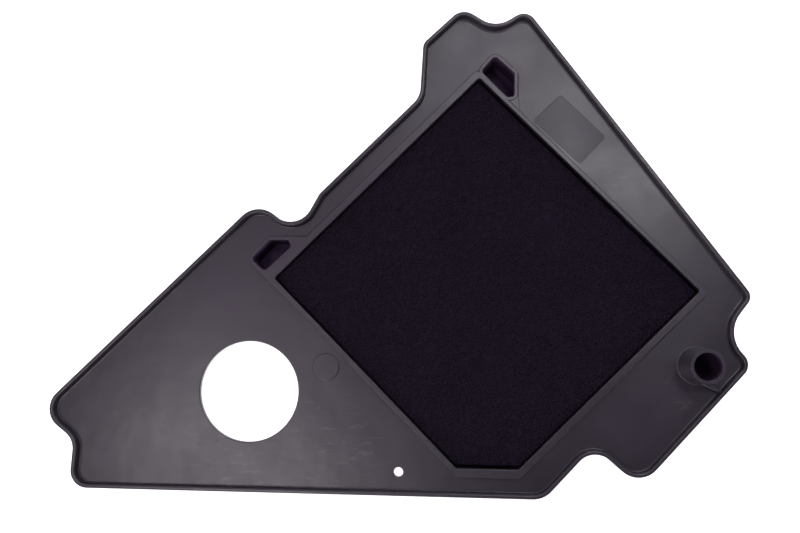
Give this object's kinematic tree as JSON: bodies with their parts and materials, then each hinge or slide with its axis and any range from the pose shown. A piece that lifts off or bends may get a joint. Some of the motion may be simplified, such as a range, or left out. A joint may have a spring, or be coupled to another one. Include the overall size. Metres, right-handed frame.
{
  "type": "air filter housing plate",
  "caption": "Flat moulded air filter housing plate with a raised rim, a square foam element in a framed pocket, a round duct opening and a hollow stub.",
  "frame": {"origin": "centre of the bounding box in plan, on the surface that the rear frame rests on", "axes": "+X along the long straight edge of the plate, +Y across it towards the pointed top, +Z out of the foam face"},
  "size_m": [0.256, 0.1793, 0.032],
  "materials": {
    "plate_plastic": "fine moulded satin",
    "frame_plastic": "satin",
    "coarse_foam": "open-cell foam",
    "fine_foam": "fine open-cell foam",
    "screen_wire": "drawn wire",
    "seal_rubber": "matte",
    "screw_steel": "zinc plated"
  },
  "bodies": {
    "plate": {"housing_plate": "plate_plastic", "rear_frame": "frame_plastic", "wire_screen": "screen_wire", "rim_seal": "seal_rubber", "duct_seal": "seal_rubber", "frame_screw_1": "screw_steel", "frame_screw_2": "screw_steel", "frame_screw_3": "screw_steel"},
    "foam_pad": {"foam_coarse": "coarse_foam", "foam_fine": "fine_foam"}
  },
  "joints": [
    {"name": "foam_lift", "type": "slide", "parent": "plate", "child": "foam_pad", "axis": [0, 0, 1], "range_m": [0, 0.03]}
  ]
}
